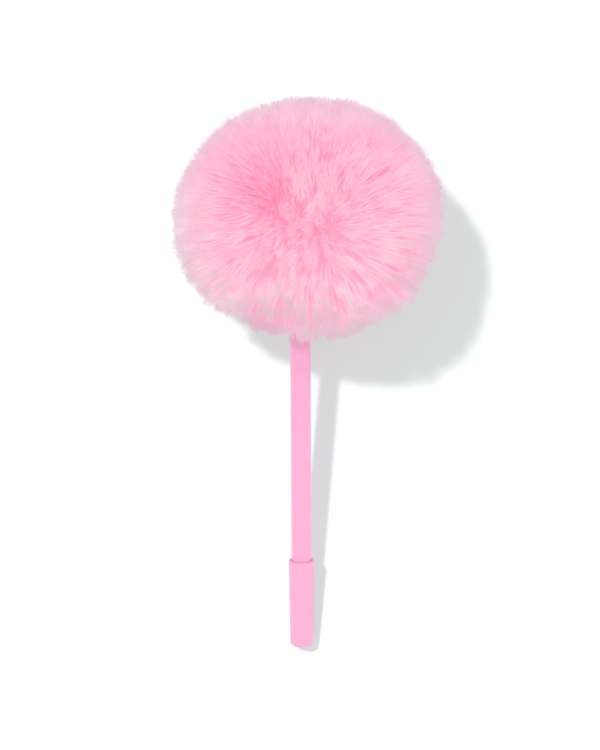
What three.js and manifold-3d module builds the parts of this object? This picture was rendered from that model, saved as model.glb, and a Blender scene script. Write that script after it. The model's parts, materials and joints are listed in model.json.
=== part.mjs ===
// A capped gel pen with a faux-fur pompom on its rear end, lying on a flat surface.
// Millimetres, +Z up. The pen lies along +Y from cap to pompom, in the plane x = 0,
// and rests on the edge of its cap and on the flattened underside of the pompom.
// The origin is on the surface, under the middle of the pen's length.

import * as THREE from "three";
import { mergeVertices } from "three/addons/utils/BufferGeometryUtils.js";
import Module from "manifold-3d";

const wasm = await Module();
wasm.setup();

// ---------------------------------------------------------------------------------
// Driving dimensions. A station is a distance along the pen's axis from the closed end
// of the cap, and every radius is measured from that axis.

const TILT = THREE.MathUtils.degToRad(11.5); // of the pen's axis above the surface

const BARREL_RADIUS = 4;
const BARREL_WALL = 0.7;
const BARREL_FRONT = 22.4;
const BARREL_REAR = 165;

const CAP_LENGTH = 35.8;
const CAP_MOUTH_RADIUS = 5.1;
const CAP_END_RADIUS = 4.7;
const CAP_EDGE_ROUND = 1.3;
const CAP_END_WALL = 1.2;
const CAP_NARROW_RADIUS = 3.6; // of the cap's bore ahead of the barrel

const NOSE_FRONT = 8; // of the grip section
const NOSE_SHOULDER = 20; // where the grip section meets the cap's narrow bore
const SPIGOT_REAR = 33; // of the part of the grip section inside the barrel

const HOLDER_FRONT = 9.3;
const HOLDER_NOZZLE_RADIUS = 1.7;
const HOLDER_COLLAR_FRONT = 14.6;
const HOLDER_REAR = 27;
const PASSAGE_RADIUS = 0.6; // of the ink's way through the holder
const PASSAGE_FRONT = 14.4;

const POINT_RADIUS = 1.15;
const SHANK_RADIUS = 0.95;
const SHANK_REAR = 14;

const REFILL_RADIUS = 2.3;
const REFILL_WALL = 0.5;
const REFILL_FRONT = 20.2;
const REFILL_REAR = 134;
const INK_REAR = 112;
const FOLLOWER_LENGTH = 9;

const BALL_RADIUS = 0.5;
const BALL_STATION = 4.3;

const FLANGE_REAR = 166.7; // of the end plug
const STEM_RADIUS = 1.5;
const STEM_REAR = 178;
const BARB_HEIGHT = 0.5;

const POMPOM_STATION = 173.5; // of the middle of the pompom
const PILE_RADIUS = 52.5;
const PILE_HALF_LENGTH = 47;
const BACKING_RADIUS = 17;
const BACKING_WALL = 1.2;
const COLLAR_FRONT = 150.5; // of the gathered mouth of the backing

const THREAD_STATION = 154.1;
const THREAD_RADIUS = 0.35;
const THREAD_TURNS = 3;

const GLUE_FRONT = 159.6;
const GLUE_REAR = 164;
const GLUE_HEIGHT = 1.05;

const RUNNING_GAP = 0.12; // round a piece that slides in another
const SEATED_GAP = 0.06; // round a piece that is held in another, on the same facets
const FACE_GAP = 0.3; // between pieces that meet end to end

const FINE = 36; // facets round the outer shells
const SMALL = 20; // facets round the small inner pieces

const barrelBore = BARREL_RADIUS - BARREL_WALL;
const refillBore = REFILL_RADIUS - REFILL_WALL;
const collarBore = BARREL_RADIUS + RUNNING_GAP;
const collarRadius = collarBore + BACKING_WALL;
const waistRadius = collarRadius - 0.35; // where the thread draws the collar in

// ---------------------------------------------------------------------------------
// Shape helpers

// A solid turned about the pen's axis. The profile is a list of [radius, station] pairs
// that climbs the outside and comes back down the inside.
function turned(profile, facets) {
  return new THREE.LatheGeometry(profile.map(([r, s]) => new THREE.Vector2(r, s)), facets);
}

// Points on an arc in the profile's plane: 0 degrees points away from the axis and
// 90 degrees points to the rear.
function arc(radius, station, size, from, to, steps) {
  return Array.from({ length: steps + 1 }, (_, i) => {
    const angle = THREE.MathUtils.degToRad(from + ((to - from) * i) / steps);
    return [radius + size * Math.cos(angle), station + size * Math.sin(angle)];
  });
}

// The angle, in arc()'s degrees, at which a circle of this size round the axis point of
// a ball crosses the given radius on its front half.
function frontAngle(radius, size) {
  return -THREE.MathUtils.radToDeg(Math.acos(radius / size));
}

function solidOf(geometry) {
  const bare = geometry.clone();
  bare.deleteAttribute("normal");
  bare.deleteAttribute("uv");
  const merged = mergeVertices(bare);
  return new wasm.Manifold(
    new wasm.Mesh({
      numProp: 3,
      vertProperties: new Float32Array(merged.attributes.position.array),
      triVerts: new Uint32Array(merged.index.array),
    }),
  );
}

function geometryOf(solid) {
  const { vertProperties, triVerts } = solid.getMesh();
  const geometry = new THREE.BufferGeometry();
  geometry.setAttribute("position", new THREE.BufferAttribute(new Float32Array(vertProperties), 3));
  geometry.setIndex(new THREE.BufferAttribute(new Uint32Array(triVerts), 1));
  geometry.computeVertexNormals();
  return geometry;
}

// ---------------------------------------------------------------------------------
// The cap

function capShell() {
  const edge = CAP_END_RADIUS - CAP_EDGE_ROUND;
  const lip = 0.25;
  const bore = BARREL_RADIUS + RUNNING_GAP;
  return turned(
    [
      [0, 0],
      ...arc(edge, CAP_EDGE_ROUND, CAP_EDGE_ROUND, -90, 0, 6),
      [CAP_MOUTH_RADIUS, CAP_LENGTH - lip],
      [CAP_MOUTH_RADIUS - lip, CAP_LENGTH],
      [bore + lip, CAP_LENGTH],
      [bore, CAP_LENGTH - lip],
      [bore, BARREL_FRONT - 0.6],
      [CAP_NARROW_RADIUS + 0.1, BARREL_FRONT - 2.6],
      [CAP_NARROW_RADIUS, CAP_END_WALL],
      [0, CAP_END_WALL],
    ],
    FINE,
  );
}

function tipStopper() {
  const radius = CAP_NARROW_RADIUS - SEATED_GAP;
  const bevel = 0.3;
  const front = CAP_END_WALL + FACE_GAP;
  const rear = BALL_STATION + 0.7;
  const dimple = 1.1;
  const dimpleFloor = BALL_STATION - BALL_RADIUS - FACE_GAP;
  return turned(
    [
      [0, front],
      [radius - bevel, front],
      [radius, front + bevel],
      [radius, rear - bevel],
      [radius - bevel, rear],
      [dimple + 0.5, rear],
      [dimple, dimpleFloor],
      [0, dimpleFloor],
    ],
    FINE,
  );
}

// ---------------------------------------------------------------------------------
// The grip section and the refill

function gripSection() {
  const spigot = barrelBore - FACE_GAP;
  const ring = barrelBore - SEATED_GAP;
  const bore = REFILL_RADIUS + RUNNING_GAP;
  const nozzle = HOLDER_NOZZLE_RADIUS + RUNNING_GAP;
  const mouth = POINT_RADIUS + 0.2;
  const collar = BARREL_RADIUS - 0.2;
  const collarRear = BARREL_FRONT - FACE_GAP;
  const step = HOLDER_COLLAR_FRONT - 0.1;
  const snapRing = (station) => [
    [spigot, station - 0.5],
    [ring, station - 0.2],
    [ring, station + 0.2],
    [spigot, station + 0.5],
  ];
  return turned(
    [
      [mouth, NOSE_FRONT],
      [1.75, NOSE_FRONT],
      [1.95, NOSE_FRONT + 0.25],
      [3.1, NOSE_FRONT + 7],
      [3.55, NOSE_SHOULDER - 1.6],
      [3.6, NOSE_SHOULDER - 0.4],
      [3.45, NOSE_SHOULDER - 0.2],
      [3.45, NOSE_SHOULDER + 0.2],
      [collar - 0.05, NOSE_SHOULDER + 0.5],
      [collar, collarRear],
      [spigot, collarRear],
      ...snapRing(BARREL_FRONT + 3),
      ...snapRing(BARREL_FRONT + 6),
      [spigot, SPIGOT_REAR - 0.5],
      [spigot - 0.25, SPIGOT_REAR],
      [bore, SPIGOT_REAR],
      [bore, step],
      [nozzle, step],
      [nozzle, HOLDER_FRONT - FACE_GAP],
      [mouth, HOLDER_FRONT - FACE_GAP],
      [mouth, NOSE_FRONT],
    ],
    SMALL,
  );
}

function tipHolder() {
  const collarRear = REFILL_FRONT - 0.2;
  const plug = refillBore - SEATED_GAP;
  const shankBore = SHANK_RADIUS + SEATED_GAP;
  return turned(
    [
      [shankBore, HOLDER_FRONT],
      [HOLDER_NOZZLE_RADIUS - 0.2, HOLDER_FRONT],
      [HOLDER_NOZZLE_RADIUS, HOLDER_FRONT + 0.2],
      [HOLDER_NOZZLE_RADIUS, HOLDER_COLLAR_FRONT],
      [REFILL_RADIUS - 0.1, HOLDER_COLLAR_FRONT],
      [REFILL_RADIUS, HOLDER_COLLAR_FRONT + 0.1],
      [REFILL_RADIUS, collarRear],
      [plug, collarRear],
      [plug, HOLDER_REAR - 0.4],
      [plug - 0.3, HOLDER_REAR],
      [PASSAGE_RADIUS, HOLDER_REAR],
      [PASSAGE_RADIUS, PASSAGE_FRONT],
      [shankBore, PASSAGE_FRONT],
      [shankBore, HOLDER_FRONT],
    ],
    SMALL,
  );
}

function tipPoint() {
  const channel = 0.28; // behind the ball
  const shankChannel = 0.5;
  // The socket runs from the channel, past the ball's widest circle, to the lip that keeps
  // the ball in.
  const socket = arc(0, BALL_STATION, BALL_RADIUS + SEATED_GAP, 60, -23, 6);
  const [lipBore, lip] = socket.at(-1);
  const coneRear = 6.9;
  const shankFront = HOLDER_FRONT - 0.2;
  return turned(
    [
      [lipBore, lip],
      [lipBore + 0.07, lip],
      [0.72, BALL_STATION + 0.35],
      [POINT_RADIUS, coneRear],
      [POINT_RADIUS, shankFront],
      [SHANK_RADIUS, shankFront],
      [SHANK_RADIUS, SHANK_REAR],
      [shankChannel, SHANK_REAR],
      [shankChannel, shankFront],
      [channel, coneRear],
      ...socket,
    ],
    SMALL,
  );
}

function writingBall() {
  return turned(arc(0, BALL_STATION, BALL_RADIUS, -90, 90, 10), SMALL);
}

function refillTube() {
  return turned(
    [
      [refillBore, REFILL_FRONT],
      [REFILL_RADIUS, REFILL_FRONT],
      [REFILL_RADIUS, REFILL_REAR],
      [refillBore, REFILL_REAR],
      [refillBore, REFILL_FRONT],
    ],
    SMALL,
  );
}

function inkColumn() {
  const radius = refillBore - SEATED_GAP;
  const clearance = 0.2; // from the shank and from the holder's rear
  const thread = PASSAGE_RADIUS - SEATED_GAP; // the ink in the holder's passage
  return turned(
    [
      [0, PASSAGE_FRONT + clearance],
      [thread, PASSAGE_FRONT + clearance],
      [thread, HOLDER_REAR + clearance],
      [radius, HOLDER_REAR + clearance],
      [radius, INK_REAR],
      [0, INK_REAR],
    ],
    SMALL,
  );
}

function inkFollower() {
  const radius = refillBore - SEATED_GAP;
  const front = INK_REAR + FACE_GAP;
  const rear = front + FOLLOWER_LENGTH;
  return turned(
    [
      [0, front],
      [radius, front],
      [radius, rear],
      [radius * 0.7, rear - 0.5],
      [0, rear - 0.8],
    ],
    SMALL,
  );
}

// ---------------------------------------------------------------------------------
// The barrel and its plug

function barrelTube() {
  const chamfer = 0.25;
  return turned(
    [
      [barrelBore, BARREL_FRONT],
      [BARREL_RADIUS - chamfer, BARREL_FRONT],
      [BARREL_RADIUS, BARREL_FRONT + chamfer],
      [BARREL_RADIUS, BARREL_REAR],
      [barrelBore, BARREL_REAR],
      [barrelBore, BARREL_FRONT],
    ],
    FINE,
  );
}

function endPlug() {
  const plug = barrelBore - SEATED_GAP;
  const plugFront = BARREL_REAR - 10;
  const flangeFront = BARREL_REAR + 0.1;
  const barb = (station) => [
    [STEM_RADIUS, station],
    [STEM_RADIUS + BARB_HEIGHT, station],
    [STEM_RADIUS, station + 1.8],
  ];
  return turned(
    [
      [0, plugFront],
      [plug - 0.4, plugFront],
      [plug, plugFront + 0.6],
      [plug, flangeFront],
      [BARREL_RADIUS, flangeFront],
      [BARREL_RADIUS, FLANGE_REAR - 0.3],
      [BARREL_RADIUS - 0.3, FLANGE_REAR],
      [STEM_RADIUS, FLANGE_REAR],
      ...barb(FLANGE_REAR + 2),
      ...barb(FLANGE_REAR + 5),
      ...barb(FLANGE_REAR + 8),
      [STEM_RADIUS - 0.5, STEM_REAR],
      [0, STEM_REAR],
    ],
    FINE,
  );
}

// ---------------------------------------------------------------------------------
// The pompom

function pompomBacking() {
  const inner = BACKING_RADIUS - BACKING_WALL;
  const waistHalf = 1.4; // of the length that the thread draws in
  return turned(
    [
      ...arc(0, POMPOM_STATION, inner, 90, frontAngle(collarBore, inner), 9),
      [collarBore, COLLAR_FRONT],
      [collarRadius + 0.3, COLLAR_FRONT],
      [collarRadius, THREAD_STATION - waistHalf - 0.6],
      [waistRadius, THREAD_STATION - waistHalf],
      [waistRadius, THREAD_STATION + waistHalf],
      ...arc(0, POMPOM_STATION, BACKING_RADIUS, frontAngle(collarRadius, BACKING_RADIUS), 90, 10),
    ],
    FINE,
  );
}

// One thread wound round the collar, each turn beside the last.
function gatherThread() {
  const radius = waistRadius + THREAD_RADIUS + RUNNING_GAP;
  const pitch = THREAD_RADIUS * 2 + 0.1;
  const start = THREAD_STATION - (THREAD_TURNS * pitch) / 2;
  class Winding extends THREE.Curve {
    getPoint(t, target = new THREE.Vector3()) {
      const angle = t * THREAD_TURNS * 2 * Math.PI;
      return target.set(
        radius * Math.sin(angle),
        start + t * THREAD_TURNS * pitch,
        radius * Math.cos(angle),
      );
    }
  }
  const section = new THREE.Shape();
  section.absarc(0, 0, THREAD_RADIUS, 0, 2 * Math.PI);
  return new THREE.ExtrudeGeometry(section, {
    steps: 20 * THREAD_TURNS,
    curveSegments: 4,
    extrudePath: new Winding(),
  });
}

function glueBead() {
  const middle = (GLUE_FRONT + GLUE_REAR) / 2;
  return turned(
    [
      [collarBore, GLUE_FRONT],
      [collarBore + 0.4, GLUE_FRONT],
      [collarBore + GLUE_HEIGHT, middle],
      [collarBore + 0.5, GLUE_REAR],
      [collarBore, GLUE_REAR],
      [collarBore, GLUE_FRONT],
    ],
    FINE,
  );
}

function pompomStuffing() {
  const radius = BACKING_RADIUS - BACKING_WALL - FACE_GAP;
  const glueSpace = collarBore + GLUE_HEIGHT + FACE_GAP;
  const barrelSpace = BARREL_RADIUS + FACE_GAP;
  const barrelSpaceRear = FLANGE_REAR + FACE_GAP;
  const stemSpace = STEM_RADIUS + BARB_HEIGHT + FACE_GAP;
  return turned(
    [
      [0, STEM_REAR + FACE_GAP],
      [stemSpace, STEM_REAR + FACE_GAP],
      [stemSpace, barrelSpaceRear],
      [barrelSpace, barrelSpaceRear],
      [barrelSpace, GLUE_REAR + FACE_GAP],
      [glueSpace, GLUE_REAR + FACE_GAP],
      ...arc(0, POMPOM_STATION, radius, frontAngle(glueSpace, radius), 90, 9),
    ],
    FINE,
  );
}

// The space that the pile leaves free: the backing, its collar with the thread, and the
// barrel's way out.
function pileCore() {
  const ball = BACKING_RADIUS + FACE_GAP;
  const collarSpace = waistRadius + 2 * THREAD_RADIUS + RUNNING_GAP + FACE_GAP;
  const collarSpaceFront = COLLAR_FRONT - FACE_GAP;
  const outside = POMPOM_STATION - PILE_HALF_LENGTH - 10;
  return turned(
    [
      [0, outside],
      [BARREL_RADIUS + FACE_GAP, outside],
      [BARREL_RADIUS + FACE_GAP, collarSpaceFront],
      [collarSpace, collarSpaceFront],
      ...arc(0, POMPOM_STATION, ball, frontAngle(collarSpace, ball), 90, 9),
    ],
    FINE,
  );
}

function pompomPile(lift) {
  const ball = new THREE.SphereGeometry(1, 44, 26);
  ball.scale(PILE_RADIUS, PILE_HALF_LENGTH, PILE_RADIUS);
  ball.translate(0, POMPOM_STATION, 0);
  const depth = 60;
  const surface = new THREE.BoxGeometry(4 * PILE_RADIUS, 8 * PILE_RADIUS, depth);
  surface.translate(0, 0, -depth / 2 - lift);
  surface.rotateX(-TILT);
  return geometryOf(solidOf(ball).subtract(solidOf(pileCore())).subtract(solidOf(surface)));
}

// ---------------------------------------------------------------------------------
// Materials

function plastic(color, roughness) {
  return new THREE.MeshStandardMaterial({ color, roughness, metalness: 0 });
}

function metal(color, roughness) {
  return new THREE.MeshStandardMaterial({ color, roughness, metalness: 1 });
}

const PINK = 0xfdb4db;
const FUR_PINK = 0xfbb2cb;

const clearPlastic = plastic(0xeef2f4, 0.15);
clearPlastic.transparent = true;
clearPlastic.opacity = 0.4;

// ---------------------------------------------------------------------------------
// The pen, built upright along Y and then laid down

const pen = new THREE.Group();

function add(name, geometry, material) {
  const mesh = new THREE.Mesh(geometry, material);
  mesh.name = name;
  pen.add(mesh);
  return mesh;
}

add("cap_shell", capShell(), plastic(PINK, 0.35));
add("tip_stopper", tipStopper(), plastic(0xf4f1ee, 0.8));

add("grip_section", gripSection(), plastic(PINK, 0.4));
add("tip_holder", tipHolder(), plastic(0xf2f2ee, 0.4));
add("tip_point", tipPoint(), metal(0xcfcac0, 0.28));
add("writing_ball", writingBall(), metal(0x9a9a9c, 0.12));
add("refill_tube", refillTube(), clearPlastic);
add("ink_column", inkColumn(), plastic(0x14151c, 0.2));
add("ink_follower", inkFollower(), plastic(0xf3e2a8, 0.3));

add("barrel_tube", barrelTube(), plastic(PINK, 0.35));
add("end_plug", endPlug(), plastic(PINK, 0.4));

add("glue_bead", glueBead(), plastic(0xf5edd2, 0.3));
add("gather_thread", gatherThread(), plastic(0xf7a9c6, 0.8));
add("pompom_backing", pompomBacking(), plastic(0xf39cbc, 0.95));
add("pompom_stuffing", pompomStuffing(), plastic(0xffffff, 1));

// How far the axis must be raised for the tilted cap to touch the surface.
pen.rotation.x = TILT;
pen.updateMatrixWorld(true);
const lift = -new THREE.Box3().setFromObject(pen.getObjectByName("cap_shell"), true).min.z;
add("pompom_pile", pompomPile(lift), plastic(FUR_PINK, 1));

pen.position.z = lift;
pen.updateMatrixWorld(true);
const extent = new THREE.Box3().setFromObject(pen, true);
pen.position.y = -(extent.min.y + extent.max.y) / 2;

const gelPen = new THREE.Group();
gelPen.add(pen);

export default gelPen;
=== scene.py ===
"""A capped gel pen with a faux-fur pompom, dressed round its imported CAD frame.

Blender 4.5, metres, +Z up. Lengths are worked out in millimetres and multiplied by MM. A
station is a distance in millimetres along the pen's axis from the closed end of the cap.
"""

import json
import math
from types import SimpleNamespace

import bmesh
import bpy
import numpy as np
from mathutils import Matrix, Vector
from mathutils.kdtree import KDTree


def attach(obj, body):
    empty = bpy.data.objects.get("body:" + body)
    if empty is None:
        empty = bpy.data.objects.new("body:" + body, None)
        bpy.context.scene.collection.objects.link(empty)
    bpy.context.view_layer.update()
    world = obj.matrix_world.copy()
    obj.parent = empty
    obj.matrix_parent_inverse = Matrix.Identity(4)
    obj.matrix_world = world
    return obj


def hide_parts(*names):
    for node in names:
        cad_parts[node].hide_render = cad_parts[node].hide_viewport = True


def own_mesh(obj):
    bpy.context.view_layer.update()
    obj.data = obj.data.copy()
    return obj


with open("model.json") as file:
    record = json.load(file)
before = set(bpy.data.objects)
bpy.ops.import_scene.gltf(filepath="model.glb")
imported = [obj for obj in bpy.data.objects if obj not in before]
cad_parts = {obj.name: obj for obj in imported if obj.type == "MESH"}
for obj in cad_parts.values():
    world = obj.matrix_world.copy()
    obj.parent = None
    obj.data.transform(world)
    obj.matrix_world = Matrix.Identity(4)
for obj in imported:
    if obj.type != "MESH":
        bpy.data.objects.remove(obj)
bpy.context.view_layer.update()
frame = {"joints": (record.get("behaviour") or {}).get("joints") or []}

MM = 0.001

# ----------------------------------------------------------
# Driving dimensions, in millimetres

BARREL_RADIUS = 4
BARREL_BORE = 3.3
BARREL_FRONT = 22.4
BARREL_REAR = 165

CAP_LENGTH = 35.8
CAP_MOUTH_RADIUS = 5.1
CAP_END_RADIUS = 4.7
CAP_EDGE_ROUND = 1.3
CAP_END_WALL = 1.2
CAP_NARROW_RADIUS = 3.6

NOSE_FRONT = 8
NOSE_SHOULDER = 20
SPIGOT_REAR = 33

HOLDER_FRONT = 9.3
HOLDER_NOZZLE_RADIUS = 1.7
HOLDER_COLLAR_FRONT = 14.6
HOLDER_REAR = 27
PASSAGE_RADIUS = 0.6
PASSAGE_FRONT = 14.4

POINT_RADIUS = 1.15
SHANK_RADIUS = 0.95
SHANK_REAR = 14
BALL_RADIUS = 0.5
BALL_STATION = 4.3

REFILL_RADIUS = 2.3
REFILL_BORE = 1.8
REFILL_FRONT = 20.2
REFILL_REAR = 134
INK_REAR = 112
FOLLOWER_LENGTH = 9

FLANGE_REAR = 166.7
STEM_RADIUS = 1.5
STEM_REAR = 178
BARB_HEIGHT = 0.5

POMPOM_STATION = 173.5
PILE_RADIUS = 52.5
PILE_HALF_LENGTH = 47
BACKING_RADIUS = 17
BACKING_WALL = 1.2
COLLAR_BORE = 4.12
COLLAR_RADIUS = 5.32
WAIST_RADIUS = 4.97
COLLAR_FRONT = 150.5

THREAD_STATION = 154.1
THREAD_RADIUS = 0.35
THREAD_TURNS = 3

GLUE_FRONT = 159.6
GLUE_REAR = 164
GLUE_HEIGHT = 1.05

RUNNING_GAP = 0.12
SEATED_GAP = 0.06
FACE_GAP = 0.3

# ----------------------------------------------------------
# The pen's axis, from the frame's joints

JOINTS = {joint["name"]: joint for joint in frame["joints"]}
AXIS = Vector(JOINTS["cap_pull"]["axis"]).normalized()
CAP_END = Vector(JOINTS["ball_roll"]["pos_m"]) - AXIS * BALL_STATION * MM
SIDE = Vector((1, 0, 0))
UPWARD = SIDE.cross(AXIS)  # square to the axis, away from the floor
PEN_AXES = np.array([SIDE, AXIS, UPWARD])


def to_row(points):
    """Points (side, station, up) in the pen's own axes, moved to the row's axes, in mm."""
    return np.array(CAP_END) / MM + np.asarray(points, float) @ PEN_AXES


def pen_way(x, y, z):
    """A direction of the row's axes, as a unit vector in the pen's own."""
    return normalised(PEN_AXES @ np.array([x, y, z], float))


def normalised(vectors):
    return vectors / np.linalg.norm(vectors, axis=-1, keepdims=True)


def smooth_step(amount):
    amount = np.clip(amount, 0, 1)
    return amount**2 * (3 - 2 * amount)


# ----------------------------------------------------------
# Camera, light and floor

CAMERA_PLACE = Vector((-0.0002, 0.0009, 0.75))
VIEW_LENGTH = 0.3055  # of the floor that the picture's long side takes in
CAMERA_ROLL = math.radians(-0.3)
SENSOR = 36

WORLD_STRENGTH = 1.04
KEY_WAY = (0.42, -0.375, -1)  # from behind the pompom's left, steeply down
KEY_ENERGY = 0.5
KEY_SOFTNESS = 5  # degrees across
FILL_WAY = (-0.75, -0.2, -0.6)  # from the right, low
FILL_ENERGY = 0.25
FILL_SOFTNESS = 60

FLOOR_REACH = 4.0
FLOOR_COLOUR = (0.24, 0.275, 0.27, 1)
FLOOR_GLOW = 0.435  # keeps the shadows even
WASH_ENERGY = 4.6

BOUNCES = 24  # enough for light to find its way through the fur and the refill


def add_to_scene(thing):
    bpy.context.scene.collection.objects.link(thing)


def make_camera():
    camera = bpy.data.objects.new("camera", bpy.data.cameras.new("camera"))
    camera.data.sensor_width = SENSOR
    camera.data.lens = SENSOR * CAMERA_PLACE.z / VIEW_LENGTH
    camera.data.clip_start = 0.01
    camera.data.clip_end = 10
    camera.location = CAMERA_PLACE
    camera.rotation_euler = (0, 0, CAMERA_ROLL)
    add_to_scene(camera)
    bpy.context.scene.camera = camera


def make_sun(name, falling, energy, softness):
    sun = bpy.data.objects.new(name, bpy.data.lights.new(name, "SUN"))
    sun.data.energy = energy
    sun.data.angle = math.radians(softness)
    sun.rotation_euler = Vector(falling).to_track_quat("-Z", "Y").to_euler()
    add_to_scene(sun)
    return sun


def make_surroundings():
    world = bpy.data.worlds.new("studio")
    world.use_nodes = True
    background = world.node_tree.nodes["Background"]
    background.inputs["Color"].default_value = (1, 1, 1, 1)
    background.inputs["Strength"].default_value = WORLD_STRENGTH
    bpy.context.scene.world = world
    make_sun("key", KEY_WAY, KEY_ENERGY, KEY_SOFTNESS)
    make_sun("fill", FILL_WAY, FILL_ENERGY, FILL_SOFTNESS)


def make_floor():
    ends = [(-1, -1), (1, -1), (1, 1), (-1, 1)]
    mesh = bpy.data.meshes.new("floor")
    mesh.from_pydata([(x * FLOOR_REACH, y * FLOOR_REACH, 0) for x, y in ends], [], [(0, 1, 2, 3)])
    floor = bpy.data.objects.new("floor", mesh)
    material = bpy.data.materials.new("floor_white")
    material.use_nodes = True
    shader = material.node_tree.nodes["Principled BSDF"]
    shader.inputs["Base Color"].default_value = FLOOR_COLOUR
    shader.inputs["Emission Color"].default_value = (1, 1, 1, 1)
    shader.inputs["Emission Strength"].default_value = FLOOR_GLOW
    shader.inputs["Roughness"].default_value = 0.9
    mesh.materials.append(material)
    add_to_scene(floor)
    # a second key that lights only the floor keeps it white right up to the object
    wash = make_sun("floor_wash", KEY_WAY, WASH_ENERGY, KEY_SOFTNESS)
    wash.light_linking.receiver_collection = bpy.data.collections.new("floor_only")
    wash.light_linking.receiver_collection.objects.link(floor)


def set_up_view():
    scene = bpy.context.scene
    scene.view_settings.view_transform = "Standard"
    scene.cycles.max_bounces = BOUNCES
    scene.cycles.diffuse_bounces = BOUNCES
    scene.cycles.transmission_bounces = BOUNCES
    make_camera()
    make_surroundings()
    make_floor()


# ----------------------------------------------------------
# Material helpers. A texture's size is given as the width of its features, in mm.

CHART = "OFBake"
WAVES_PER_SCALE = 3  # about how many bands a wave texture of scale 1 makes across its chart


def new_material(name):
    material = bpy.data.materials.new(name)
    material.use_nodes = True
    tree = material.node_tree
    return material, tree, tree.nodes["Principled BSDF"]


def add_node(tree, kind, values, **settings):
    """Adds a node and gives its outputs. Each value is a constant or another node's output."""
    node = tree.nodes.new(kind)
    for name, setting in settings.items():
        setattr(node, name, setting)
    for socket, value in values.items():
        if isinstance(value, bpy.types.NodeSocket):
            tree.links.new(value, node.inputs[socket])
        else:
            node.inputs[socket].default_value = value
    return node.outputs


def body_place(tree, stretch=(1, 1, 1)):
    place = add_node(tree, "ShaderNodeTexCoord", {})["Object"]
    return add_node(tree, "ShaderNodeMapping", {"Vector": place, "Scale": stretch})["Vector"]


def chart_place(tree, stretch=(1, 1, 1)):
    """The piece's chart: across it runs round the pen's axis, up it runs along the outline."""
    place = add_node(tree, "ShaderNodeUVMap", {}, uv_map=CHART)["UV"]
    return add_node(tree, "ShaderNodeMapping", {"Vector": place, "Scale": stretch})["Vector"]


def noise(tree, width, detail=2, place=None):
    values = {"Vector": place or body_place(tree), "Scale": 1 / (width * MM), "Detail": detail}
    return add_node(tree, "ShaderNodeTexNoise", values)["Fac"]


def bubbles(tree, width):
    values = {"Vector": body_place(tree), "Scale": 1 / (width * MM)}
    return add_node(tree, "ShaderNodeTexVoronoi", values)["Distance"]


def bands(tree, direction, count, distortion):
    """Bands across the piece's chart, count of them, in its X or Y direction."""
    values = {
        "Vector": chart_place(tree),
        "Scale": count / WAVES_PER_SCALE,
        "Distortion": distortion,
    }
    return add_node(tree, "ShaderNodeTexWave", values, bands_direction=direction)["Fac"]


def between(tree, amount, low, high):
    values = {"Value": amount, "To Min": low, "To Max": high}
    return add_node(tree, "ShaderNodeMapRange", values)["Result"]


def arithmetic(tree, operation, *values):
    return add_node(tree, "ShaderNodeMath", dict(enumerate(values)), operation=operation)["Value"]


def colours(tree, amount, *stops):
    """A colour for each amount, from (amount, colour) stops."""
    ramp = tree.nodes.new("ShaderNodeValToRGB")
    elements = ramp.color_ramp.elements
    while len(elements) < len(stops):
        elements.new(0.5)
    for element, (place, colour) in zip(elements, stops):
        element.position = place
        element.color = (*colour, 1)
    tree.links.new(amount, ramp.inputs["Fac"])
    return ramp.outputs["Color"]


def dye(tree, shader, amount, *stops):
    tree.links.new(colours(tree, amount, *stops), shader.inputs["Base Color"])


def vary_roughness(tree, shader, amount, low, high):
    tree.links.new(between(tree, amount, low, high), shader.inputs["Roughness"])


def relief(tree, shader, height, depth):
    """Raises the surface by a height of 0 to 1, where 1 is depth millimetres."""
    bump = add_node(tree, "ShaderNodeBump", {"Distance": depth * MM, "Height": height})
    tree.links.new(bump["Normal"], shader.inputs["Normal"])


def scaled(colour, amount):
    return tuple(min(1.0, part * amount) for part in colour)


# ----------------------------------------------------------
# Materials, one for each slot of the record


def moulded_plastic(name, colour, roughness):
    """Dyed plastic with faint clouding in the dye and the fine grain of its mould."""
    material, tree, shader = new_material(name)
    clouding = noise(tree, 6, 3)
    grain = noise(tree, 0.16, 3)
    dye(tree, shader, clouding, (0.3, scaled(colour, 0.975)), (0.7, scaled(colour, 1.02)))
    vary_roughness(tree, shader, grain, roughness - 0.05, roughness + 0.06)
    shader.inputs["Specular IOR Level"].default_value = 0.3
    relief(tree, shader, grain, 0.006)
    return material


def stopper_rubber():
    material, tree, shader = new_material("stopper_rubber")
    specks = noise(tree, 0.25, 4)
    dye(tree, shader, specks, (0.3, (0.62, 0.59, 0.55)), (0.7, (0.75, 0.72, 0.68)))
    shader.inputs["Roughness"].default_value = 0.8
    shader.inputs["Specular IOR Level"].default_value = 0.25
    relief(tree, shader, specks, 0.03)
    return material


def turned_metal(name, colour, roughness, mark_count):
    """Metal with the rings that a lathe leaves, mark_count of them along the outline."""
    material, tree, shader = new_material(name)
    rings = bands(tree, "Y", mark_count, 0.6)
    stain = noise(tree, 0.9, 4)
    dye(tree, shader, stain, (0.35, scaled(colour, 0.88)), (0.65, scaled(colour, 1.05)))
    vary_roughness(tree, shader, stain, roughness - 0.06, roughness + 0.1)
    shader.inputs["Metallic"].default_value = 1
    relief(tree, shader, rings, 0.004)
    return material


def ball_metal():
    material, tree, shader = new_material("ball_metal")
    pores = noise(tree, 0.04, 3)
    dye(tree, shader, pores, (0.4, (0.22, 0.22, 0.23)), (0.6, (0.36, 0.36, 0.37)))
    vary_roughness(tree, shader, pores, 0.1, 0.24)
    shader.inputs["Metallic"].default_value = 1
    relief(tree, shader, pores, 0.002)
    return material


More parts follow.
